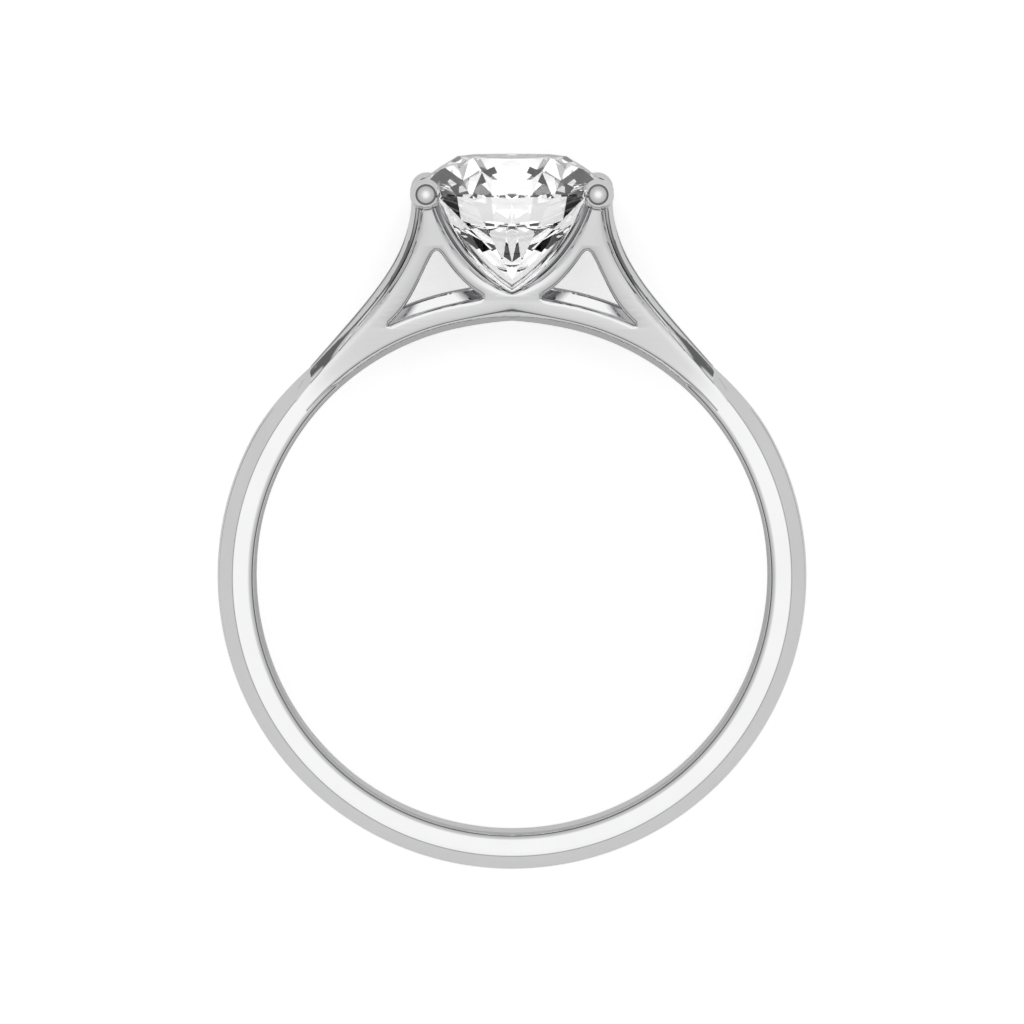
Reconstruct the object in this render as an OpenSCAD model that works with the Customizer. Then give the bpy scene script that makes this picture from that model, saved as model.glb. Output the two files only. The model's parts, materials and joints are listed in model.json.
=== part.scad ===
// Solitaire ring with a cathedral head and one round brilliant, lying on its side.
// Ring frame: X across the finger, Y from the finger axis up to the stone, Z along the finger.
// The ring is tipped about X so that the girdle and the far side of the band touch the floor.

/* [Band] */
// Diameter of the finger hole
hole_d = 16.5; // [14:0.1:22]
// Thickness of the band from the hole to the crest
wall_t = 1.25; // [0.9:0.05:2.5]
// Width of the band along the finger
band_w = 2.0; // [1.4:0.1:4]
// Radial height of the sloped outer bevels
bevel_h = 0.48; // [0.2:0.02:0.9]
// Width left flat on the crest
crest_w = 0.3; // [0.1:0.05:1]
// Radius of the rounded inner edges
inner_round = 0.3; // [0.1:0.05:0.5]
// Angle from the stone at which the band splits into its arms
split_deg = 41; // [36:1:50]

/* [Arms] */
// Distance of the shoulder kink from the finger axis
shoulder_r = 9.36; // [9:0.02:9.6]
// Angle of the shoulder kink from the stone
shoulder_deg = 43.8; // [38:0.2:50]
// Steepness of the arm where it leaves the band
arm_rise_deg = 48.6; // [40:0.2:60]
// Reach of the straight lower half of the arm
arm_reach = 3.45; // [2:0.05:5]
// Drop of the nearly upright upper half of the arm
arm_drop = 2.18; // [1:0.02:3]
// Depth of each side wall along the finger
arm_t = 0.86; // [0.6:0.02:1.2]
// Outward lean of each side wall, as depth gained for each unit of height
lean = 0.233; // [0.1:0.001:0.4]
// Depth of the narrower front layer of the arms and of the seat curve
front_d = 0.3; // [0.1:0.02:0.5]

/* [Head] */
// Half distance between two claws across the finger
claw_x = 2.76; // [2:0.02:4]
// Width of a claw
claw_w = 0.95; // [0.6:0.02:1.4]
// Width of the flat ridge on the front of a claw
claw_ridge_w = 0.24; // [0.1:0.02:0.6]
// Height of the claw tips above the finger axis
claw_top = 12.92; // [12:0.02:14]
// Height of the domed end of a claw
claw_dome_h = 0.34; // [0.1:0.02:0.6]
// Height where the arms end and the claw tips begin
arm_top = 12.5; // [11:0.02:13]
// Height of the lowest point of the seat curve
seat_y = 9.33; // [9:0.01:10]
// Height of the front edge of the seat curve at its lowest point
seat_face_y = 9.22; // [8.9:0.01:10]
// Outer radius of the lower bar that closes the windows
lower_bar_r = 9.07; // [8.7:0.01:9.4]
// Height of the top corner of a window
window_top_y = 10.75; // [10:0.05:11.5]
// Distance of the top corner of a window from the middle
window_top_x = 2.44; // [1.8:0.02:3]
// Angle of the inner corner of a window from the middle
window_in_deg = 5.0; // [3:0.2:12]
// Angle of the outer corner of a window from the middle
window_out_deg = 27.2; // [20:0.2:34]

/* [Stone] */
// Diameter of the girdle
stone_d = 6.55; // [5:0.05:8]
// Height of the middle of the girdle above the finger axis
girdle_y = 12.42; // [12:0.02:13.4]
// Thickness of the girdle at its widest places
girdle_t = 0.16; // [0.06:0.01:0.3]
// Width of the table from corner to corner
table_d = 3.5; // [2.8:0.05:4.2]
// Slope of the bezel facets
crown_deg = 34.5; // [30:0.5:38]
// Slope of the main facets below the girdle
pavilion_deg = 40.4; // [39:0.1:43]
// Distance of the lower corners of the star facets from the axis
star_r = 2.5; // [2.2:0.05:2.8]
// Distance of the upper ends of the main facets' sides from the axis
lower_half_r = 0.78; // [0.4:0.02:1.4]
// Clearance between the stone and its seat
stone_gap = 0.03; // [0.02:0.01:0.08]

/* [Hidden] */
$fn = 96;
hole_r = hole_d / 2;
crest_r = hole_r + wall_t;
bevel_r = crest_r - bevel_h;
half_w = band_w / 2;
stone_r = stone_d / 2;
round_steps = 6;
curve_steps = 9;
// The metal stands inside the bore by this much before the bore is cut.
sink = 0.3;
// Cutting bodies run past the metal by this much.
over = 1;

// A point at a distance r from the finger axis, a degrees from the stone.
function polar(r, a) = [r * sin(a), r * cos(a)];

// A point on the cubic curve through a and d that is pulled toward b and c.
function curve_at(a, b, c, d, t) =
    a * pow(1 - t, 3) + b * 3 * t * pow(1 - t, 2) + c * 3 * t * t * (1 - t) + d * t * t * t;
function curve(a, b, c, d) =
    [for (i = [0 : curve_steps]) curve_at(a, b, c, d, i / curve_steps)];

function mirrored(p) = [for (i = [len(p) - 1 : -1 : 0]) [-p[i][0], p[i][1]]];

// A side wall leaves the band face at the shoulder and leans outward.
wall_foot_y = shoulder_r * cos(shoulder_deg);
lean_deg = atan(lean);
function face_z(y) = half_w + (y - wall_foot_y) * lean;
function on_slope(p) = [for (q = p) [q[0], wall_foot_y + (q[1] - wall_foot_y) / cos(lean_deg)]];

// Outlines of one half of a side wall, on the right of the middle.
// The wide outline is the body, the narrow one is the front layer.
claw_in = claw_x - claw_w / 2;
claw_out = claw_x + claw_w / 2;
ridge_in = claw_x - claw_ridge_w / 2;
ridge_out = claw_x + claw_ridge_w / 2;
// The face's outline starts a little further down the band, and the tail ends inside the band.
face_start_deg = shoulder_deg + 2.2;
tail_deg = shoulder_deg + 7;
tail_sink = 0.04;
shoulder = polar(shoulder_r, shoulder_deg);
shoulder_face = polar(bevel_r, face_start_deg);
arm_tail = polar(bevel_r + bevel_h / 2, tail_deg);
arm_tail_face = polar(bevel_r - tail_sink, tail_deg);

// Where the seat curves are pulled to: out and up from the middle, in and down from a claw.
seat_pull_low = [1.2, 0.72];
seat_pull_high = [-0.14, -0.85];
seat_face_pull_low = [1.4, 0.38];
seat_face_pull_high = [-0.19, -1.15];
seat_wide = curve([0, seat_y], [0, seat_y] + seat_pull_low, [claw_in, arm_top] + seat_pull_high,
                  [claw_in, arm_top]);
seat_face = curve([0, seat_face_y], [0, seat_face_y] + seat_face_pull_low,
                  [ridge_in, arm_top] + seat_face_pull_high, [ridge_in, arm_top]);
// Where the arms' outer curves are pulled to: sideways below a claw, and along the slope.
arm_pull = [0.02, -arm_drop];
arm_face_pull = [-0.03, -arm_drop];
arm_face_reach = arm_reach + 0.25;
arm_slope = [-cos(arm_rise_deg), sin(arm_rise_deg)];
arm_wide = curve([claw_out, arm_top], [claw_out, arm_top] + arm_pull,
                 shoulder + arm_reach * arm_slope, shoulder);
arm_face = curve([ridge_out, arm_top], [ridge_out, arm_top] + arm_face_pull,
                 shoulder_face + arm_face_reach * arm_slope, shoulder_face);

// The lower edge stands inside the bore, which is cut afterwards.
bar_steps = 4;
bar = [for (i = [0 : bar_steps]) polar(hole_r - sink, tail_deg * (1 - i / bar_steps))];

function without_first(p) = [for (i = [1 : len(p) - 1]) p[i]];
function whole(seat, arm, tail) =
    let (half = concat(without_first(seat), arm, [tail], bar))
    concat([seat[0]], half, without_first(mirrored(half)));

module layer(outline, depth, thickness) {
    translate([0, wall_foot_y, half_w]) rotate([lean_deg, 0, 0])
        translate([0, -wall_foot_y, -depth])
            linear_extrude(height = thickness) polygon(on_slope(outline));
}

// The front layer reaches into the body by this much.
layer_sink = 0.1;
module side_wall() {
    layer(whole(seat_wide, arm_wide, arm_tail), arm_t, arm_t - front_d);
    layer(whole(seat_face, arm_face, arm_tail_face), front_d + layer_sink, front_d + layer_sink);
}

// Window between the arm, the seat curve and the lower bar, cut through both side walls.
window_top = [window_top_x, window_top_y];
window_in_lift = 0.05;
window_in = polar(lower_bar_r + window_in_lift, window_in_deg);
window_out = polar(lower_bar_r, window_out_deg);
// Pull points of the window's inner and outer sides.
window_in_pulls = [[2.0, 10.1], [1.5, 9.32]];
window_out_pulls = [[3.2, 8.75], [3.0, 9.7]];
window_steps = 5;
window_span = window_out_deg - window_in_deg;
window_outline = concat(
    curve(window_top, window_in_pulls[0], window_in_pulls[1], window_in),
    [for (i = [1 : window_steps]) polar(lower_bar_r, window_in_deg + i / window_steps * window_span)],
    without_first(curve(window_out, window_out_pulls[0], window_out_pulls[1], window_top)));
// The cutting body reaches past the claws on both sides.
window_cut_w = 8;

module window_cut() {
    linear_extrude(height = window_cut_w, center = true) polygon(window_outline);
}

// Band section: flat sides, sloped bevels and a narrow crest. The bore is cut afterwards.
band_section = [
    [hole_r - sink, -half_w], [bevel_r, -half_w], [crest_r, -crest_w / 2],
    [crest_r, crest_w / 2], [bevel_r, half_w], [hole_r - sink, half_w]];

// The part of the circle between the shoulders is cut away past this radius.
split_r = 2 * hole_r;
module band_blank() {
    difference() {
        rotate_extrude() polygon(band_section);
        linear_extrude(height = band_w + over, center = true)
            polygon([[0, 0], polar(split_r, split_deg), [0, split_r], polar(split_r, -split_deg)]);
    }
}

// Finger hole with rounded edges, the same for the band and for the walls above it.
edge_arc = [for (i = [0 : round_steps])
    let (a = 90 * i / round_steps)
    [hole_r + inner_round * (1 - cos(a)), half_w - inner_round * (1 - sin(a))]];
bore_h = window_cut_w / 2;
bore_half = concat(edge_arc, [[hole_r + inner_round, bore_h]]);
bore_section = concat([[0, bore_h]], [for (i = [len(bore_half) - 1 : -1 : 0]) bore_half[i]],
    [for (q = bore_half) [q[0], -q[1]]], [[0, -bore_h]]);

module bore_cut() {
    rotate_extrude() polygon(bore_section);
}

// Claw tip: a short post with a domed end that stands beside the girdle.
claw_z = face_z(arm_top) - arm_t / 2;
tip_foot = 11.9;
tip_steps = 8;
tip_section = concat([[0, tip_foot], [claw_w / 2, tip_foot]],
    [for (i = [0 : tip_steps])
        let (a = 90 * i / tip_steps)
        [claw_w / 2 * cos(a), claw_top - claw_dome_h * (1 - sin(a))]]);

module claw_tip() {
    translate([claw_x, 0, claw_z]) rotate([-90, 0, 0]) rotate_extrude() polygon(tip_section);
}

// The seat is the round envelope of the stone, larger by the clearance.
girdle_top = girdle_y + girdle_t / 2;
girdle_foot = girdle_y - girdle_t / 2;
crown_h = (stone_r - table_d / 2) * tan(crown_deg);
pavilion_h = stone_r * tan(pavilion_deg);

module seat_cut() {
    rotate([-90, 0, 0]) rotate_extrude() polygon([
        [0, girdle_foot - pavilion_h - 2 * stone_gap],
        [stone_r + stone_gap, girdle_foot - stone_gap],
        [stone_r + stone_gap, girdle_top + stone_gap],
        [table_d / 2 + stone_gap, girdle_top + crown_h + stone_gap],
        [table_d / 2 + stone_gap, claw_top + over],
        [0, claw_top + over]]);
}

module mounting_shape() {
    difference() {
        union() {
            band_blank();
            for (side = [0, 1]) mirror([0, 0, side]) {
                side_wall();
                claw_tip();
                mirror([1, 0, 0]) claw_tip();
            }
        }
        window_cut();
        mirror([1, 0, 0]) window_cut();
        seat_cut();
        bore_cut();
    }
}

// Round brilliant. Heights are measured from the girdle edges on the stone's own axis.
girdle_n = 64;
table_z = girdle_t / 2 + crown_h;
culet_z = -girdle_t / 2 - pavilion_h;
half_turn = 22.5;
star_z = girdle_t / 2 + (stone_r - star_r * cos(half_turn)) * tan(crown_deg);
lower_z = culet_z + lower_half_r * cos(half_turn) * tan(pavilion_deg);

function ring_point(r, a, z) = [r * cos(a), r * sin(a), z];
// Height on the plane through three points, above the place [x, y].
function plane_z(a, b, c, x, y) =
    let (n = cross(b - a, c - a)) a[2] - (n[0] * (x - a[0]) + n[1] * (y - a[1])) / n[2];
// Edge of the girdle on the half facets that start at a corner of radius r and height z.
function girdle_z(j, r, z, edge) =
    let (step = 360 / girdle_n, a = j * step, cell = floor(a / half_turn + 0.001),
         odd = cell % 2, main_a = (cell + odd) * half_turn, mid_a = (cell + 1 - odd) * half_turn)
    plane_z(ring_point(r, mid_a, z), ring_point(stone_r, main_a, edge),
            ring_point(stone_r, mid_a, edge), stone_r * cos(a), stone_r * sin(a));

module stone_shape() {
    table_0 = 0;
    star_0 = 8;
    upper_0 = 16;
    lower_0 = upper_0 + girdle_n;
    join_0 = lower_0 + girdle_n;
    culet = join_0 + 8;
    eighth = girdle_n / 8;
    points = concat(
        [for (i = [0 : 7]) ring_point(table_d / 2, 45 * i, table_z)],
        [for (i = [0 : 7]) ring_point(star_r, 45 * i + half_turn, star_z)],
        [for (j = [0 : girdle_n - 1])
            ring_point(stone_r, j * 360 / girdle_n, girdle_z(j, star_r, star_z, girdle_t / 2))],
        [for (j = [0 : girdle_n - 1])
            ring_point(stone_r, j * 360 / girdle_n, girdle_z(j, lower_half_r, lower_z, -girdle_t / 2))],
        [for (i = [0 : 7]) ring_point(lower_half_r, 45 * i + half_turn, lower_z)],
        [[0, 0, culet_z]]);
    faces = concat(
        [[for (i = [7 : -1 : 0]) table_0 + i]],
        [for (i = [0 : 7]) [table_0 + i, table_0 + (i + 1) % 8, star_0 + i]],
        [for (i = [0 : 7]) [table_0 + i, star_0 + i, upper_0 + i * eighth, star_0 + (i + 7) % 8]],
        [for (i = [0 : 15]) let (s = star_0 + floor(i / 2), j = i * eighth / 2)
            concat([s], [for (k = [eighth / 2 : -1 : 0]) upper_0 + (j + k) % girdle_n])],
        [for (j = [0 : girdle_n - 1]) let (n = (j + 1) % girdle_n)
            [upper_0 + j, upper_0 + n, lower_0 + n, lower_0 + j]],
        [for (i = [0 : 15]) let (s = join_0 + floor(i / 2), j = i * eighth / 2)
            concat([s], [for (k = [0 : eighth / 2]) lower_0 + (j + k) % girdle_n])],
        [for (i = [0 : 7]) [culet, join_0 + (i + 7) % 8, lower_0 + i * eighth, join_0 + i]]);
    polyhedron(points = points, faces = faces);
}

// Rest on the side: the lower edge of the girdle and the far edge of the band touch the floor.
rest_deg = atan((stone_r - half_w) / (girdle_foot + bevel_r));
lift = bevel_r * sin(rest_deg) + half_w * cos(rest_deg);
near_end = -(crest_r * cos(rest_deg) + crest_w / 2 * sin(rest_deg));
far_end = (girdle_y + table_z) * cos(rest_deg) + table_d / 2 * sin(rest_deg);

module at_rest() {
    translate([0, -(near_end + far_end) / 2, lift]) rotate([rest_deg, 0, 0]) children();
}

module mounting() {
    color([0.86, 0.86, 0.87]) at_rest() mounting_shape();
}

module stone() {
    color([0.93, 0.95, 0.98]) at_rest() translate([0, girdle_y, 0]) rotate([-90, 0, 0]) stone_shape();
}

mounting();
stone();
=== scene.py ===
# %% [markdown]
# # A solitaire ring lying on its side
# The ring is a polished white metal mounting that holds one round brilliant stone.
# This lesson loads the engineering model first. It fixes every size and place.
# The looks are then built on top of it, in metres and in the same frame.

# %% Load the engineering model
import json
import math
import bpy
import bmesh
from mathutils import Matrix, Vector
from mathutils.geometry import tessellate_polygon

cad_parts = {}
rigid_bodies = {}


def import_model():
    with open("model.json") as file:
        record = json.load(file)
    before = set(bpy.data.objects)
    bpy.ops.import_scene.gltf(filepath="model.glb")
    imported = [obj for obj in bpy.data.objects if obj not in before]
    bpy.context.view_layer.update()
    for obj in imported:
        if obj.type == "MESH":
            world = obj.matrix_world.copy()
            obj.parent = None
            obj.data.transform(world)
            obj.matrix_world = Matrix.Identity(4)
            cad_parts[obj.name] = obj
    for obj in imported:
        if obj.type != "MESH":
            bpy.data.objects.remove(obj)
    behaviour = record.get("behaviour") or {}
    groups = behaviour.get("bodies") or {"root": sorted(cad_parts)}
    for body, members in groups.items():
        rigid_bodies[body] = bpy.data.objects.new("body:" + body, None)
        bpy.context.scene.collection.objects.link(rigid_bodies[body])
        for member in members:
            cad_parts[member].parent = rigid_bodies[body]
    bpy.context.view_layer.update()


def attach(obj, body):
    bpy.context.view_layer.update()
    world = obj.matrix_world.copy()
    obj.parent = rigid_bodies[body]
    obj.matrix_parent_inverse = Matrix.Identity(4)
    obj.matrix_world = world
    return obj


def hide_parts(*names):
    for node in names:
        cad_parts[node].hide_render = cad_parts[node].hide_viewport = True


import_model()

# %% [markdown]
# ## The ring's own frame
# A goldsmith measures a ring from the finger axis, so the shapes are drawn in that frame.
# X runs across the finger, Y runs up to the stone and Z runs along the finger, in millimetres.
# The ring rests on the edge of its stone and on the far edge of its band.
# One turn about X and one lift bring every point from the ring's frame to the floor.

# %% Sizes of the ring and the way it rests
MM = 0.001
HOLE_R = 8.25
CREST_R = 9.5
FACE_R = 9.02
HALF_W = 1.0
CREST_HALF = 0.15
INNER_ROUND = 0.3
STONE_R = 3.275
GIRDLE_FOOT = 12.34
GIRDLE_TOP = 12.5
TABLE_R = 1.75
CROWN_H = (STONE_R - TABLE_R) * math.tan(math.radians(34.5))
PAVILION_H = STONE_R * math.tan(math.radians(40.4))
TABLE_Y = GIRDLE_TOP + CROWN_H

REST = math.atan((STONE_R - HALF_W) / (GIRDLE_FOOT + FACE_R))
SIN_REST, COS_REST = math.sin(REST), math.cos(REST)
LIFT = FACE_R * SIN_REST + HALF_W * COS_REST
NEAR_END = -(CREST_R * COS_REST + CREST_HALF * SIN_REST)
FAR_END = TABLE_Y * COS_REST + TABLE_R * SIN_REST
SHIFT = -(NEAR_END + FAR_END) / 2


def to_floor(p):
    """Take a point of the ring's frame in millimetres to the floor frame in metres."""
    x, y, z = p
    return Vector((x * MM, (y * COS_REST - z * SIN_REST + SHIFT) * MM,
                   (y * SIN_REST + z * COS_REST + LIFT) * MM))


print("the ring leans by", round(math.degrees(REST), 2), "degrees")

# %% [markdown]
# ## The camera
# The picture looks almost straight along the finger, from a little toward the stone.
# A long lens far away keeps the circle of the band nearly free of perspective.
# The ring lies on the floor, so the camera stands above it and looks down.

# %% The camera
VIEW_RISE = math.radians(4.3)
VIEW_DISTANCE = 0.45
FRAME_WIDTH = 33.03
AIM = (0.0, 2.06, 0.0)

aim = to_floor(AIM)
toward = to_floor((0.0, AIM[1] + math.sin(VIEW_RISE), math.cos(VIEW_RISE))) - aim
up = to_floor((0.0, AIM[1] + math.cos(VIEW_RISE), -math.sin(VIEW_RISE))) - aim
toward.normalize()
up.normalize()
camera_data = bpy.data.cameras.new("camera")
camera_data.sensor_width = 36.0
camera_data.lens = 36.0 * VIEW_DISTANCE / (FRAME_WIDTH * MM)
camera_data.clip_start = 0.01
camera_data.clip_end = 20.0
camera = bpy.data.objects.new("camera", camera_data)
bpy.context.scene.collection.objects.link(camera)
right = up.cross(toward)
camera.matrix_world = Matrix((
    (right.x, up.x, toward.x, aim.x + toward.x * VIEW_DISTANCE),
    (right.y, up.y, toward.y, aim.y + toward.y * VIEW_DISTANCE),
    (right.z, up.z, toward.z, aim.z + toward.z * VIEW_DISTANCE),
    (0.0, 0.0, 0.0, 1.0)))
bpy.context.scene.camera = camera
print("lens", round(camera_data.lens, 1), "mm")

# %% [markdown]
# ## Small helpers
# Curved outlines are cubic curves pulled toward two points, as a draughtsman's spline is.
# A closed mesh is made from points and faces, and its faces are turned outward.

# %% Curves and meshes
def pull(a, b, c, d, n):
    """Points on the cubic curve from a to d, pulled toward b and c."""
    points = []
    for i in range(n + 1):
        t = i / n
        k = ((1 - t) ** 3, 3 * t * (1 - t) ** 2, 3 * t * t * (1 - t), t ** 3)
        points.append(tuple(k[0] * a[j] + k[1] * b[j] + k[2] * c[j] + k[3] * d[j] for j in (0, 1)))
    return points


def polar(r, deg):
    """The point at a distance r from the finger axis, deg degrees from the stone."""
    return (r * math.sin(math.radians(deg)), r * math.cos(math.radians(deg)))


def smooth(t):
    """A soft step from 0 to 1."""
    t = max(0.0, min(1.0, t))
    return t * t * (3 - 2 * t)


def make_object(name, points, faces):
    """A closed mesh object with its faces turned outward."""
    mesh = bpy.data.meshes.new(name)
    mesh.from_pydata([to_floor(p) for p in points], [], faces)
    work = bmesh.new()
    work.from_mesh(mesh)
    bmesh.ops.remove_doubles(work, verts=work.verts, dist=1e-8)
    bmesh.ops.recalc_face_normals(work, faces=work.faces)
    open_edges = sum(1 for e in work.edges if not e.is_manifold)
    work.to_mesh(mesh)
    work.free()
    piece = bpy.data.objects.new(name, mesh)
    bpy.context.scene.collection.objects.link(piece)
    print(name, len(mesh.vertices), "points,", open_edges, "open edges")
    return piece


# %% An empty material for the metal
def new_material(name):
    """A material with only a Principled shader, ready for its inputs."""
    material = bpy.data.materials.new(name)
    material.use_nodes = True
    return material, material.node_tree, material.node_tree.nodes["Principled BSDF"]


def set_inputs(modifier, values):
    """Set a node modifier's named inputs through their socket identifiers."""
    for item in modifier.node_group.interface.items_tree:
        if item.in_out == "INPUT" and item.name in values:
            modifier[item.identifier] = values[item.name]


metal, metal_tree, metal_shader = new_material("polished white metal")
print("the metal is named", metal.name)

# %% [markdown]
# ## The side walls with their arms and claws
# Each wall is one flat strip of metal: two arms, the curve under the stone and a lower bar.
# It leans outward, so that its claws reach the edge of the stone.
# Both long edges of the strip carry a rounded rib beside a fine groove.
# The wall is lofted: one outline of the front face and one of the body share their stations,
# and rings between the two outlines give the groove, the rib and the rounded back.

# %% Outlines of a wall
CLAW_X = 2.76
CLAW_HALF = 0.455
RIDGE_HALF = 0.13
ARM_TOP = 12.45
CLAW_TOP = 12.62
SEAT_Y = 9.33
SEAT_FACE_Y = 9.22
SHOULDER_R = 9.36
SHOULDER_DEG = 43.8
TAIL_DEG = 50.8
RISE = math.radians(48.6)
WALL_T = 0.86
LEAN = 0.2176
FOOT_Y = 6.35
FOOT_BLEND = 1.0
CURVE_STEPS = 36


def wall_z(y):
    """Height of a wall's front face: level in the band, then a soft bend into the lean."""
    s = y - FOOT_Y
    return HALF_W - 0.012 + LEAN * (s + math.sqrt(s * s + FOOT_BLEND * FOOT_BLEND)) / 2


def toward_arm(p, reach):
    """The point reached from p along the arm's lower, straight stretch."""
    return (p[0] - reach * math.cos(RISE), p[1] + reach * math.sin(RISE))


shoulder = polar(SHOULDER_R, SHOULDER_DEG)
shoulder_face = polar(FACE_R, SHOULDER_DEG + 2.2)
claw_in, claw_out = CLAW_X - CLAW_HALF, CLAW_X + CLAW_HALF
ridge_in, ridge_out = CLAW_X - RIDGE_HALF, CLAW_X + RIDGE_HALF

seat_wide = pull((0, SEAT_Y), (1.2, SEAT_Y + 0.72), (claw_in - 0.14, 11.6),
                 (claw_in, ARM_TOP), CURVE_STEPS)
seat_face = pull((0, SEAT_FACE_Y), (1.4, SEAT_FACE_Y + 0.38), (ridge_in - 0.19, 11.3),
                 (ridge_in, ARM_TOP), CURVE_STEPS)
ARCH_STEPS = 14
arch = [math.pi * (1 - i / ARCH_STEPS) for i in range(1, ARCH_STEPS)]
arch_wide = [(CLAW_X + CLAW_HALF * math.cos(a), ARM_TOP + (CLAW_TOP - ARM_TOP) * math.sin(a))
             for a in arch]
arch_face = [(CLAW_X + RIDGE_HALF * math.cos(a), ARM_TOP + 0.06 * math.sin(a)) for a in arch]
arm_wide = pull((claw_out, ARM_TOP), (claw_out + 0.02, ARM_TOP - 2.18),
                toward_arm(shoulder, 3.45), shoulder, CURVE_STEPS)
arm_face = pull((ridge_out, ARM_TOP), (ridge_out - 0.03, ARM_TOP - 2.18),
                toward_arm(shoulder_face, 3.7), shoulder_face, CURVE_STEPS)

BAR_STEPS = 60
PEAK_H, PEAK_DEG = 0.2, 12.0
SINK_FROM_DEG = 40.5
bar_wide, bar_face = [], []
for i in range(BAR_STEPS + 1):
    deg = TAIL_DEG * (1 - i / BAR_STEPS)
    sunk = 0.12 * smooth((deg - SINK_FROM_DEG) / 6)
    peak = PEAK_H * max(0.0, 1 - deg / PEAK_DEG) ** 2
    bar_wide.append(polar(HOLE_R + sunk + 0.3 * peak, deg))
    bar_face.append(polar(HOLE_R + INNER_ROUND + peak, deg))

tail_wide = [polar(SHOULDER_R - 0.05 - 0.2 * k, SHOULDER_DEG + (TAIL_DEG - SHOULDER_DEG) * k)
             for k in (0.35, 0.7, 1.0)]
tail_face = [polar(FACE_R - 0.03 * k, SHOULDER_DEG + 2.2 + (TAIL_DEG - SHOULDER_DEG - 2.2) * k)
             for k in (0.35, 0.7, 1.0)]
half_wide = seat_wide + arch_wide + arm_wide + tail_wide + bar_wide
half_face = seat_face + arch_face + arm_face + tail_face + bar_face
ARM_N = len(seat_wide) + len(arch_wide) + len(arm_wide) + len(tail_wide)


def both_sides(half):
    """Close a half outline with its mirror image across the middle."""
    return half + [(-x, y) for x, y in reversed(half[1:-1])]


wide, face = both_sides(half_wide), both_sides(half_face)
print("a wall's outline has", len(wide), "stations")

# %% Windows of a wall
LOWER_BAR_R = 9.07
WINDOW_STEPS = 16
window_top = (2.44, 10.75)
window_in = polar(LOWER_BAR_R + 0.05, 5.0)
FAR_BAR_RAISE = 0.26


def window_outline(raise_bar):
    """A window's outline, with its lower edge raised by raise_bar."""
    low = LOWER_BAR_R + raise_bar
    inner = (window_in[0] + 0.35 * raise_bar, window_in[1] + raise_bar)
    outer = polar(low, 27.2 - 6.5 * raise_bar)
    span = 22.2 - 6.5 * raise_bar
    return (pull(window_top, (2.0, 10.1), (1.5 + 0.35 * raise_bar, 9.32 + raise_bar), inner,
                 WINDOW_STEPS)
            + [polar(low, 5.0 + raise_bar * 2.2 + (span - raise_bar * 2.2) * i / WINDOW_STEPS)
               for i in range(1, WINDOW_STEPS)]
            + pull(outer, (3.2, 8.75 + 0.6 * raise_bar), (3.0, 9.7), window_top,
                   WINDOW_STEPS)[:-1])


def rounded(outline, reach, times):
    """Soften the corners of a closed outline by averaging neighbours."""
    points = outline
    for _ in range(times):
        points = [tuple(p[j] + reach * ((points[i - 1][j] + points[(i + 1) % len(points)][j]) / 2
                                        - p[j]) for j in (0, 1))
                  for i, p in enumerate(points)]
    return points


def grown(outline, reach):
    """Move every point of a closed outline outward by reach."""
    area = sum(a[0] * b[1] - b[0] * a[1] for a, b in zip(outline, outline[1:] + outline[:1]))
    side = 1 if area > 0 else -1
    result = []
    for i, p in enumerate(outline):
        a, b = outline[i - 1], outline[(i + 1) % len(outline)]
        dx, dy = b[0] - a[0], b[1] - a[1]
        size = math.hypot(dx, dy) or 1.0
        result.append((p[0] + side * reach * dy / size, p[1] - side * reach * dx / size))
    return result


windows = {1: rounded(window_outline(0.0), 0.5, 3),
           -1: rounded(window_outline(FAR_BAR_RAISE), 0.5, 3)}
print("a window's outline has", len(windows[1]), "stations")

# %% [markdown]
# The rings go from the front face to the back. Each one names how far it stands between the
# two outlines, and how deep it lies. The groove is deepest at the claws and fades out
# where the arm meets the band.

# %% Loft a wall
SHARE = [-0.27, -0.17, -0.07, 0.0, 0.05, 0.11, 0.19, 0.30, 0.46, 0.64, 0.82, 0.94, 1.0]
RIB_D = [0.0, 0.02, 0.08, 0.19, 0.46, 0.48, 0.26, 0.11, 0.06, 0.14, 0.32, 0.50, 0.68]
PLAIN_D = [0.0, 0.004, 0.012, 0.03, 0.06, 0.10, 0.16, 0.24, 0.34, 0.45, 0.54, 0.60, 0.66]
ROUND_D = [0.0, 0.0, 0.002, 0.006, 0.015, 0.03, 0.06, 0.11, 0.19, 0.30, 0.43, 0.54, 0.66]
BEVEL_DEPTH = 0.5
CROWN_GAIN = 1.9
BEND_FROM, BEND_TO, BEND_CUTS = 5.2, 9.2, 41


def station_kind(i):
    """How strongly the rib shows at a station: 1 on the claws and the seat, 0 on the bar."""
    n = len(half_wide)
    j = i if i < n else 2 * (n - 1) - i
    if j < len(seat_wide) + len(arch_wide):
        return "rib", 1.0
    if j < ARM_N:
        y = half_wide[j][1]
        return "rib", smooth((y - 6.9) / 3.2)
    return "bar", 0.0


def ring_depth(k, i):
    """Depth of ring k at station i."""
    kind, rib = station_kind(i)
    plain = ROUND_D[k] if kind == "bar" else PLAIN_D[k]
    return BEVEL_DEPTH * (plain + (RIB_D[k] - plain) * rib)


def ring_share(k, i):
    """Place of ring k between the outlines: the crown widens below the claws."""
    if SHARE[k] >= 0:
        return SHARE[k]
    n = len(half_wide)
    j = i if i < n else 2 * (n - 1) - i
    below = smooth((11.9 - half_wide[j][1]) / 1.2) if j < ARM_N else 0.0
    return SHARE[k] * (1 + CROWN_GAIN * below)


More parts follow.
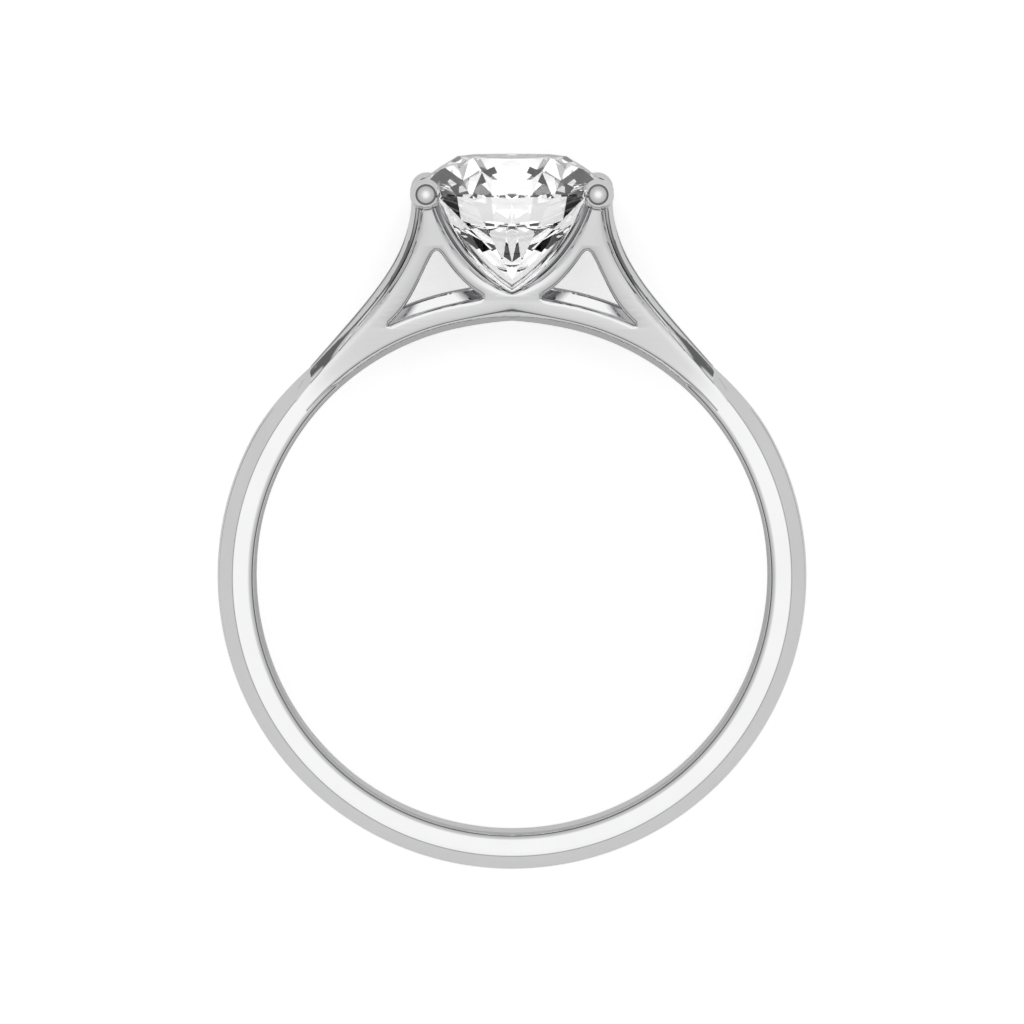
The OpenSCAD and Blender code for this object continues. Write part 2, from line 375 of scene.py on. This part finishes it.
def make_wall(name, side):
    """One wall, on the near side of the ring (side 1) or on the far side (side -1)."""
    n = len(wide)
    points, faces = [], []

    def put(x, y, depth):
        points.append((x, y, -depth))
        return len(points) - 1

    rings = []
    for k in range(len(SHARE)):
        rings.append([put(f[0] + (w[0] - f[0]) * ring_share(k, i),
                          f[1] + (w[1] - f[1]) * ring_share(k, i), ring_depth(k, i))
                      for i, (f, w) in enumerate(zip(face, wide))])
    back = [(0.0, WALL_T - 0.06), (0.018, WALL_T - 0.018), (0.06, WALL_T)]
    for inset, depth in back:
        rings.append([put(w[0] + (f[0] - w[0]) * inset * 2, w[1] + (f[1] - w[1]) * inset * 2, depth)
                      for f, w in zip(face, wide)])
    for a, b in zip(rings, rings[1:]):
        faces += [(a[i], a[(i + 1) % n], b[(i + 1) % n], b[i]) for i in range(n)]
    holes = []
    for mirror in (1, -1):
        outline = [(mirror * x, y) for x, y in windows[side]]
        m = len(outline)
        cut = [(0.15, 0.0), (0.10, 0.008), (0.055, 0.03), (0.02, 0.07), (0.0, 0.13),
               (0.0, WALL_T - 0.08), (0.02, WALL_T - 0.03), (0.06, WALL_T)]
        loops = [[put(x, y, depth) for x, y in grown(outline, reach)] for reach, depth in cut]
        for a, b in zip(loops, loops[1:]):
            faces += [(a[i], a[(i + 1) % m], b[(i + 1) % m], b[i]) for i in range(m)]
        holes.append(loops)
    for outer, pick in ((rings[0], 0), (rings[-1], -1)):
        loops = [outer, holes[0][pick], holes[1][pick]]
        flat = [[Vector((points[v][0], points[v][1], 0.0)) for v in loop] for loop in loops]
        names = [v for loop in loops for v in loop]
        faces += [tuple(names[v] for v in tri) for tri in tessellate_polygon(flat)]
    mesh = bpy.data.meshes.new(name)
    mesh.from_pydata(points, [], faces)
    work = bmesh.new()
    work.from_mesh(mesh)
    for step in range(BEND_CUTS):
        level = BEND_FROM + (BEND_TO - BEND_FROM) * step / (BEND_CUTS - 1)
        everything = work.verts[:] + work.edges[:] + work.faces[:]
        bmesh.ops.bisect_plane(work, geom=everything, dist=1e-6, plane_co=(0, level, 0),
                               plane_no=(0, 1, 0))
    work.verts.index_update()
    bent = [(v.co.x, v.co.y, side * (wall_z(v.co.y) + v.co.z)) for v in work.verts]
    cells = [tuple(v.index for v in f.verts) for f in work.faces]
    work.free()
    bpy.data.meshes.remove(mesh)
    return make_object(name, bent, cells)


near_wall = make_wall("near_wall", 1)
far_wall = make_wall("far_wall", -1)

# %% [markdown]
# ## The claw tips
# A setter finishes each claw as a small ball that is pressed over the edge of the stone.
# All four are alike, so Geometry Nodes place one ball on each of four points.

# %% Place the claw tips
TIP_R = 0.51
TIP_Y = 12.41
tip_z = wall_z(TIP_Y) - 0.16


def new_tree(name, inputs):
    """A geometry node tree with named inputs, each a socket type and a default."""
    tree = bpy.data.node_groups.new(name, "GeometryNodeTree")
    for label, (kind, value) in inputs.items():
        socket = tree.interface.new_socket(name=label, in_out="INPUT", socket_type=kind)
        if value is not None:
            socket.default_value = value
    tree.interface.new_socket(name="Geometry", in_out="OUTPUT", socket_type="NodeSocketGeometry")
    return tree, tree.nodes.new("NodeGroupInput"), tree.nodes.new("NodeGroupOutput")


def to_mesh(piece):
    """Replace an object's mesh and modifiers with the finished result."""
    depsgraph = bpy.context.evaluated_depsgraph_get()
    done = bpy.data.meshes.new_from_object(piece.evaluated_get(depsgraph), depsgraph=depsgraph)
    piece.modifiers.clear()
    piece.data = done
    return piece


tip_tree, tip_in, tip_out = new_tree("claw tips", {
    "Points": ("NodeSocketGeometry", None),
    "Ball radius": ("NodeSocketFloat", TIP_R),
    "Metal": ("NodeSocketMaterial", None)})
ball = tip_tree.nodes.new("GeometryNodeMeshUVSphere")
ball.inputs["Segments"].default_value = 48
ball.inputs["Rings"].default_value = 28
tip_tree.links.new(tip_in.outputs["Ball radius"], ball.inputs["Radius"])
spread_tips = tip_tree.nodes.new("GeometryNodeInstanceOnPoints")
tip_tree.links.new(tip_in.outputs["Points"], spread_tips.inputs["Points"])
tip_tree.links.new(ball.outputs["Mesh"], spread_tips.inputs["Instance"])
tip_real = tip_tree.nodes.new("GeometryNodeRealizeInstances")
tip_tree.links.new(spread_tips.outputs["Instances"], tip_real.inputs["Geometry"])
tip_paint = tip_tree.nodes.new("GeometryNodeSetMaterial")
tip_tree.links.new(tip_real.outputs["Geometry"], tip_paint.inputs["Geometry"])
tip_tree.links.new(tip_in.outputs["Metal"], tip_paint.inputs["Material"])
tip_tree.links.new(tip_paint.outputs["Geometry"], tip_out.inputs["Geometry"])

tip_mesh = bpy.data.meshes.new("claw_tips")
tip_mesh.from_pydata([(a * CLAW_X, TIP_Y, b * tip_z) for a in (1, -1) for b in (1, -1)], [], [])
tips = bpy.data.objects.new("claw_tips", tip_mesh)
bpy.context.scene.collection.objects.link(tips)
tip_nodes = tips.modifiers.new("claw tips", "NODES")
tip_nodes.node_group = tip_tree
set_inputs(tip_nodes, {"Ball radius": TIP_R, "Metal": metal})
to_mesh(tips)
for vertex in tips.data.vertices:
    vertex.co = to_floor(vertex.co)
print("claw tips", len(tips.data.vertices), "points")

# %% [markdown]
# ## The band
# The band is one section carried round the finger: flat sides, two sloped bevels that rise
# to a narrow crest, and a hole with rounded edges for comfort.
# A lathe or an extrusion could make a full circle, but the band ends at the shoulders.
# Geometry Nodes carry the section along an arc and narrow its crest toward both ends.

# %% The band's section
def arc_points(cx, cy, r, a0, a1, n):
    """Points on an arc from angle a0 to a1, in degrees."""
    return [(cx + r * math.cos(math.radians(a0 + (a1 - a0) * i / n)),
             cy + r * math.sin(math.radians(a0 + (a1 - a0) * i / n))) for i in range(n + 1)]


EDGE_R = 0.07
bevel_deg = math.degrees(math.atan2(HALF_W - CREST_HALF, CREST_R - FACE_R))
upper = arc_points(HOLE_R + INNER_ROUND, HALF_W - INNER_ROUND, INNER_ROUND, 180, 90, 10)
upper += arc_points(FACE_R - 0.05, HALF_W - EDGE_R, EDGE_R, 90, 90 - bevel_deg, 6)
upper += arc_points(CREST_R - 0.16, 0.0, 0.16, 55, 0, 6)
section = upper + [(r, -z) for r, z in reversed(upper[:-1])]
section_curve = bpy.data.curves.new("band_section", "CURVE")
section_curve.dimensions = "3D"
spline = section_curve.splines.new("POLY")
spline.points.add(len(section) - 1)
for point, (r, z) in zip(spline.points, section):
    point.co = ((r - CREST_R) * MM, z * MM, 0.0, 1.0)
spline.use_cyclic_u = True
section_object = bpy.data.objects.new("band_section", section_curve)
bpy.context.scene.collection.objects.link(section_object)
print("the band's section has", len(section), "points")

# %% The band's node tree
def math_node(tree, kind, a, b=None, c=None):
    """A math node whose inputs are sockets or plain numbers."""
    node = tree.nodes.new("ShaderNodeMath")
    node.operation = kind
    for slot, value in enumerate((a, b, c)):
        if value is None:
            continue
        if isinstance(value, (int, float)):
            node.inputs[slot].default_value = value
        else:
            tree.links.new(value, node.inputs[slot])
    return node.outputs[0]


band_tree, band_in, band_out = new_tree("band along the finger", {
    "Section": ("NodeSocketObject", None),
    "Crest radius": ("NodeSocketFloat", CREST_R * MM),
    "Split angle": ("NodeSocketFloat", math.radians(41.0)),
    "Taper angle": ("NodeSocketFloat", math.radians(62.0)),
    "Taper": ("NodeSocketFloat", 0.14 * MM),
    "Steps": ("NodeSocketInt", 240),
    "Metal": ("NodeSocketMaterial", None)})
link = band_tree.links.new
arc = band_tree.nodes.new("GeometryNodeCurveArc")
link(band_in.outputs["Steps"], arc.inputs["Resolution"])
link(band_in.outputs["Crest radius"], arc.inputs["Radius"])
split = band_in.outputs["Split angle"]
link(math_node(band_tree, "ADD", split, math.pi / 2), arc.inputs["Start Angle"])
link(math_node(band_tree, "SUBTRACT", 2 * math.pi, math_node(band_tree, "MULTIPLY", split, 2.0)),
     arc.inputs["Sweep Angle"])
profile = band_tree.nodes.new("GeometryNodeObjectInfo")
link(band_in.outputs["Section"], profile.inputs["Object"])
sweep = band_tree.nodes.new("GeometryNodeCurveToMesh")
sweep.inputs["Fill Caps"].default_value = True
link(arc.outputs["Curve"], sweep.inputs["Curve"])
link(profile.outputs["Geometry"], sweep.inputs["Profile Curve"])

place = band_tree.nodes.new("GeometryNodeInputPosition")
parts = band_tree.nodes.new("ShaderNodeSeparateXYZ")
link(place.outputs[0], parts.inputs[0])
px, py = parts.outputs[0], parts.outputs[1]
radius = math_node(band_tree, "SQRT", math_node(
    band_tree, "ADD", math_node(band_tree, "MULTIPLY", px, px),
    math_node(band_tree, "MULTIPLY", py, py)))
angle = math_node(band_tree, "ARCCOSINE", math_node(band_tree, "DIVIDE", py, radius))
near_end = band_tree.nodes.new("ShaderNodeMapRange")
near_end.interpolation_type = "SMOOTHSTEP"
link(angle, near_end.inputs["Value"])
link(band_in.outputs["Taper angle"], near_end.inputs["From Min"])
link(split, near_end.inputs["From Max"])
outer = math_node(band_tree, "DIVIDE", math_node(
    band_tree, "MAXIMUM", math_node(band_tree, "SUBTRACT", radius, FACE_R * MM), 0.0),
    (CREST_R - FACE_R) * MM)
pull_in = math_node(band_tree, "MULTIPLY", math_node(
    band_tree, "MULTIPLY", near_end.outputs["Result"], outer), band_in.outputs["Taper"])
scale = math_node(band_tree, "SUBTRACT", 0.0, math_node(band_tree, "DIVIDE", pull_in, radius))
offset = band_tree.nodes.new("ShaderNodeCombineXYZ")
link(math_node(band_tree, "MULTIPLY", px, scale), offset.inputs[0])
link(math_node(band_tree, "MULTIPLY", py, scale), offset.inputs[1])
move = band_tree.nodes.new("GeometryNodeSetPosition")
link(sweep.outputs["Mesh"], move.inputs["Geometry"])
link(offset.outputs[0], move.inputs["Offset"])
real = band_tree.nodes.new("GeometryNodeRealizeInstances")
link(move.outputs["Geometry"], real.inputs["Geometry"])
paint = band_tree.nodes.new("GeometryNodeSetMaterial")
link(real.outputs["Geometry"], paint.inputs["Geometry"])
link(band_in.outputs["Metal"], paint.inputs["Material"])
link(paint.outputs["Geometry"], band_out.inputs["Geometry"])
print("the band's tree has", len(band_tree.nodes), "nodes")

# %% Make the band
band = bpy.data.objects.new("band", bpy.data.meshes.new("band"))
bpy.context.scene.collection.objects.link(band)
band_nodes = band.modifiers.new("band along the finger", "NODES")
band_nodes.node_group = band_tree
set_inputs(band_nodes, {"Section": section_object, "Metal": metal})
to_mesh(band)
for vertex in band.data.vertices:
    vertex.co = to_floor(vertex.co / MM)
work = bmesh.new()
work.from_mesh(band.data)
bmesh.ops.remove_doubles(work, verts=work.verts, dist=1e-8)
bmesh.ops.recalc_face_normals(work, faces=work.faces)
print("band", len(work.verts), "points,",
      sum(1 for e in work.edges if not e.is_manifold), "open edges")
work.to_mesh(band.data)
work.free()
bpy.data.objects.remove(section_object)

# %% [markdown]
# ## One solid mounting
# The real walls and band are cast or soldered into one piece of metal.
# A boolean joins them, so no hidden wall is left inside.
# The stone's seat is then cut from the claws with a lathe shape, as a setter cuts it with a bur.

# %% The seat cutter
SEAT_GAP = 0.025
SEAT_STEPS = 96
bur = [(0.0, GIRDLE_FOOT - PAVILION_H - SEAT_GAP), (STONE_R + SEAT_GAP, GIRDLE_FOOT - SEAT_GAP),
       (STONE_R + SEAT_GAP, GIRDLE_TOP + SEAT_GAP), (TABLE_R, TABLE_Y + SEAT_GAP),
       (0.0, TABLE_Y + SEAT_GAP)]
bur_points = [(0.0, bur[0][1], 0.0), (0.0, bur[-1][1], 0.0)]
bur_faces = []
for i in range(SEAT_STEPS):
    a = 2 * math.pi * i / SEAT_STEPS
    bur_points += [(r * math.cos(a), y, r * math.sin(a)) for r, y in bur[1:-1]]
for i in range(SEAT_STEPS):
    a, b = 2 + 3 * i, 2 + 3 * ((i + 1) % SEAT_STEPS)
    bur_faces += [(0, a, b), (a, a + 1, b + 1, b), (a + 1, a + 2, b + 2, b + 1), (1, b + 2, a + 2)]
seat_bur = make_object("seat_bur", bur_points, bur_faces)

# %% Join the metal and cut the seat
mounting = near_wall
mounting.name = "mounting_metal"
for tool, operation in ((far_wall, "UNION"), (band, "UNION"), (tips, "UNION"),
                        (seat_bur, "DIFFERENCE")):
    cut = mounting.modifiers.new("join", "BOOLEAN")
    cut.operation = operation
    cut.object = tool
    cut.solver = "EXACT"
    to_mesh(mounting)
    bpy.data.objects.remove(tool)

work = bmesh.new()
work.from_mesh(mounting.data)
bmesh.ops.remove_doubles(work, verts=work.verts, dist=2e-7)
bmesh.ops.dissolve_degenerate(work, edges=work.edges, dist=2e-7)
print("mounting", len(work.verts), "points,",
      sum(1 for e in work.edges if not e.is_manifold), "open edges, volume",
      round(work.calc_volume() * 1e9, 1), "cubic mm")
work.to_mesh(mounting.data)
work.free()
mounting.data.shade_smooth()
mounting.data.set_sharp_from_angle(angle=math.radians(24))

# %% [markdown]
# ## Shared effects
# Polished metal and a cut stone are never perfectly even. Fine wheel marks, small pits and a
# faint haze from wear vary over the surface. One node group makes these values from the
# object's own coordinates, and each material places it with its own strengths.
# On the stone the haze value also tints the colour faintly blue and warm: painted fire, standing in
# for the colours that dispersion splits from light.

# %% A node group for polish
def new_group(name, inputs, outputs):
    """A shader node group with named inputs and outputs."""
    tree = bpy.data.node_groups.new(name, "ShaderNodeTree")
    for label, kind, value in inputs:
        socket = tree.interface.new_socket(name=label, in_out="INPUT", socket_type=kind)
        if value is not None:
            socket.default_value = value
    for label, kind in outputs:
        tree.interface.new_socket(name=label, in_out="OUTPUT", socket_type=kind)
    return tree, tree.nodes.new("NodeGroupInput"), tree.nodes.new("NodeGroupOutput")


polish, polish_in, polish_out = new_group(
    "polish marks",
    [("Vector", "NodeSocketVector", None),
     ("Mark scale", "NodeSocketFloat", 2600.0),
     ("Haze scale", "NodeSocketFloat", 420.0),
     ("Roughness low", "NodeSocketFloat", 0.04),
     ("Roughness high", "NodeSocketFloat", 0.1)],
    [("Height", "NodeSocketFloat"), ("Haze", "NodeSocketFloat"), ("Roughness", "NodeSocketFloat")])
join = polish.links.new
turn = polish.nodes.new("ShaderNodeMapping")
turn.inputs["Rotation"].default_value = (0.3, 0.2, 0.7)
turn.inputs["Scale"].default_value = (1.0, 0.12, 1.0)
join(polish_in.outputs["Vector"], turn.inputs["Vector"])
marks = polish.nodes.new("ShaderNodeTexNoise")
marks.inputs["Detail"].default_value = 3.0
join(turn.outputs["Vector"], marks.inputs["Vector"])
join(polish_in.outputs["Mark scale"], marks.inputs["Scale"])
haze = polish.nodes.new("ShaderNodeTexNoise")
haze.inputs["Detail"].default_value = 4.0
join(polish_in.outputs["Vector"], haze.inputs["Vector"])
join(polish_in.outputs["Haze scale"], haze.inputs["Scale"])
spread = polish.nodes.new("ShaderNodeMapRange")
spread.inputs["From Min"].default_value = 0.35
spread.inputs["From Max"].default_value = 0.7
join(haze.outputs["Fac"], spread.inputs["Value"])
join(polish_in.outputs["Roughness low"], spread.inputs["To Min"])
join(polish_in.outputs["Roughness high"], spread.inputs["To Max"])
join(marks.outputs["Fac"], polish_out.inputs["Height"])
join(haze.outputs["Fac"], polish_out.inputs["Haze"])
join(spread.outputs["Result"], polish_out.inputs["Roughness"])
print("polish group made")

# %% White metal
def place_polish(tree, **values):
    """Put the polish group on the object's own coordinates."""
    where = tree.nodes.new("ShaderNodeTexCoord")
    group = tree.nodes.new("ShaderNodeGroup")
    group.node_tree = polish
    tree.links.new(where.outputs["Object"], group.inputs["Vector"])
    for label, value in values.items():
        group.inputs[label.replace("_", " ")].default_value = value
    return group


metal_shader.inputs["Metallic"].default_value = 1.0
metal_polish = place_polish(metal_tree, Mark_scale=5200.0, Haze_scale=420.0,
                            Roughness_low=0.035, Roughness_high=0.085)
tone = metal_tree.nodes.new("ShaderNodeMix")
tone.data_type = "RGBA"
tone.inputs[6].default_value = (0.76, 0.76, 0.77, 1.0)
tone.inputs[7].default_value = (0.83, 0.83, 0.835, 1.0)
metal_tree.links.new(metal_polish.outputs["Haze"], tone.inputs[0])
metal_tree.links.new(tone.outputs[2], metal_shader.inputs["Base Color"])
metal_tree.links.new(metal_polish.outputs["Roughness"], metal_shader.inputs["Roughness"])
metal_bump = metal_tree.nodes.new("ShaderNodeBump")
metal_bump.inputs["Strength"].default_value = 0.05
metal_bump.inputs["Distance"].default_value = 0.000004
metal_tree.links.new(metal_polish.outputs["Height"], metal_bump.inputs["Height"])
metal_tree.links.new(metal_bump.outputs["Normal"], metal_shader.inputs["Normal"])
mounting.data.materials.clear()
mounting.data.materials.append(metal)
print("metal made")

# %% Clear stone
gem, gem_tree, gem_shader = new_material("clear cut stone")
gem_shader.inputs["Transmission Weight"].default_value = 1.0
gem_shader.inputs["IOR"].default_value = 2.417
gem_polish = place_polish(gem_tree, Mark_scale=900.0, Haze_scale=300.0,
                          Roughness_low=0.0, Roughness_high=0.006)
# Painted fire: the haze noise tints the stone faintly blue and warm, standing in for dispersion.
gem_fire_tint = gem_tree.nodes.new("ShaderNodeMix")
gem_fire_tint.data_type = "RGBA"
gem_fire_tint.inputs[6].default_value = (0.985, 0.985, 1.0, 1.0)
gem_fire_tint.inputs[7].default_value = (1.0, 0.995, 0.985, 1.0)
gem_tree.links.new(gem_polish.outputs["Haze"], gem_fire_tint.inputs[0])
gem_tree.links.new(gem_fire_tint.outputs[2], gem_shader.inputs["Base Color"])
gem_tree.links.new(gem_polish.outputs["Roughness"], gem_shader.inputs["Roughness"])
stone = next(o for o in bpy.data.objects if o.name.startswith("stone"))
print("stone object", stone.name, "slots", len(stone.material_slots))
for slot in stone.material_slots:
    slot.material = gem

# %% Tell the frame what each piece stands for
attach(mounting, "root")
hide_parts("mounting")

# %% [markdown]
# ## Floor and light
# The floor is a plain white sheet that glows softly, as a light table does.
# Seen through the stone it glows more: painted light in the stone.
# In the metal's reflections it is greyer and glows less, and it is greyest inside the band: painted
# shade in the reflections.
# The sky is white overhead and darkens downward to a dark belt that draws thin lines on
# polished edges. Rays that come through the stone see bright and dark cards in that belt.
# The cards give the facets their contrast.

# %% The floor
# Painted shade: in the metal's reflections the floor is greyer, greyest inside the band, and glows
# less. Painted light: seen through the stone it glows more.
FLOOR_TONE, FLOOR_REFLECTED_SHADE_INSIDE, FLOOR_REFLECTED_SHADE_AROUND = 0.93, 0.5, 0.86
FLOOR_GLOW, FLOOR_GLOW_REFLECTED_SHADE, FLOOR_GLOW_PAINTED_IN_STONE = 0.52, 0.14, 0.4
floor_mesh = bpy.data.meshes.new("floor")
floor_mesh.from_pydata([(-1, -1, 0), (1, -1, 0), (1, 1, 0), (-1, 1, 0)], [], [(0, 1, 2, 3)])
floor = bpy.data.objects.new("floor", floor_mesh)
bpy.context.scene.collection.objects.link(floor)
floor_paint, floor_tree, floor_shader = new_material("pale floor")
floor_shader.inputs["Roughness"].default_value = 0.9
floor_shader.inputs["Emission Strength"].default_value = 1.0
ray = floor_tree.nodes.new("ShaderNodeLightPath")
through = ray.outputs["Is Transmission Ray"]
mirrored = math_node(floor_tree, "SUBTRACT", ray.outputs["Is Glossy Ray"], through)
mirrored.node.use_clamp = True
spot = floor_tree.nodes.new("ShaderNodeTexCoord")
reach = floor_tree.nodes.new("ShaderNodeVectorMath")
reach.operation = "LENGTH"
floor_tree.links.new(spot.outputs["Object"], reach.inputs[0])
# Painted shade: a darker ring of floor inside the band, seen only in reflections.
reflected_shade_ring = floor_tree.nodes.new("ShaderNodeMapRange")
reflected_shade_ring.interpolation_type = "SMOOTHSTEP"
reflected_shade_ring.inputs["From Min"].default_value = 8.0 * MM
reflected_shade_ring.inputs["From Max"].default_value = 11.0 * MM
reflected_shade_ring.inputs["To Min"].default_value = FLOOR_REFLECTED_SHADE_INSIDE
reflected_shade_ring.inputs["To Max"].default_value = FLOOR_REFLECTED_SHADE_AROUND
floor_tree.links.new(reach.outputs["Value"], reflected_shade_ring.inputs["Value"])
# Glossy rays get the darker tone and the weaker glow, as painted shade in the metal's reflections.
plain_floor = math_node(floor_tree, "SUBTRACT", 1.0, mirrored)
tone_sum = math_node(floor_tree, "ADD", math_node(floor_tree, "MULTIPLY", plain_floor, FLOOR_TONE),
                     math_node(floor_tree, "MULTIPLY", mirrored, reflected_shade_ring.outputs["Result"]))
floor_tree.links.new(tone_sum, floor_shader.inputs["Base Color"])
glow_sum = math_node(floor_tree, "ADD", math_node(floor_tree, "MULTIPLY", plain_floor, FLOOR_GLOW),
                     math_node(floor_tree, "MULTIPLY", mirrored, FLOOR_GLOW_REFLECTED_SHADE))
# Painted light: extra glow that only rays passing through the stone see.
glow_sum = math_node(floor_tree, "ADD", glow_sum,
                     math_node(floor_tree, "MULTIPLY", through, FLOOR_GLOW_PAINTED_IN_STONE))
floor_tree.links.new(glow_sum, floor_shader.inputs["Emission Color"])
floor_mesh.materials.append(floor_paint)

# %% The studio light
CARDS = 6
CARD_DARK, CARD_BRIGHT = 0.02, 1.25
world = bpy.data.worlds.new("studio")
bpy.context.scene.world = world
world.use_nodes = True
sky = world.node_tree
back = sky.nodes["Background"]
heading = sky.nodes.new("ShaderNodeTexCoord")
axes = sky.nodes.new("ShaderNodeSeparateXYZ")
sky.links.new(heading.outputs["Generated"], axes.inputs[0])
ramp = sky.nodes.new("ShaderNodeValToRGB")
zones = [(0.0, 0.75), (0.10, 0.55), (0.17, 0.13), (0.36, 0.13), (0.50, 0.50), (0.78, 0.60),
         (0.90, 0.78), (0.97, 1.0)]
while len(ramp.color_ramp.elements) < len(zones):
    ramp.color_ramp.elements.new(0.5)
for element, (height, grey) in zip(ramp.color_ramp.elements, zones):
    element.position = height
    element.color = (grey, grey, grey, 1.0)
sky.links.new(axes.outputs[2], ramp.inputs["Fac"])
round_sky = math_node(sky, "ARCTAN2", axes.outputs[0], axes.outputs[1])
card = sky.nodes.new("ShaderNodeMapRange")
card.inputs["From Min"].default_value = -0.15
card.inputs["From Max"].default_value = 0.15
card.inputs["To Min"].default_value = CARD_DARK
card.inputs["To Max"].default_value = CARD_BRIGHT
sky.links.new(math_node(sky, "COSINE", math_node(sky, "MULTIPLY", round_sky, CARDS)),
              card.inputs["Value"])
belt = sky.nodes.new("ShaderNodeValToRGB")
heights = [(0.0, 0.0), (0.08, 1.0), (0.50, 1.0), (0.62, 0.0)]
while len(belt.color_ramp.elements) < len(heights):
    belt.color_ramp.elements.new(0.5)
for element, (height, share) in zip(belt.color_ramp.elements, heights):
    element.position = height
    element.color = (share, share, share, 1.0)
sky.links.new(axes.outputs[2], belt.inputs["Fac"])
walls = sky.nodes.new("ShaderNodeMix")
walls.data_type = "RGBA"
sky_ray = sky.nodes.new("ShaderNodeLightPath")
seen_through = sky_ray.outputs["Is Transmission Ray"]
sky.links.new(math_node(sky, "MULTIPLY", belt.outputs["Color"], seen_through), walls.inputs[0])
sky.links.new(ramp.outputs["Color"], walls.inputs[6])
sky.links.new(card.outputs["Result"], walls.inputs[7])
sky.links.new(walls.outputs[2], back.inputs["Color"])
back.inputs["Strength"].default_value = 1.15
bpy.context.scene.view_settings.view_transform = "Standard"
print("studio made")
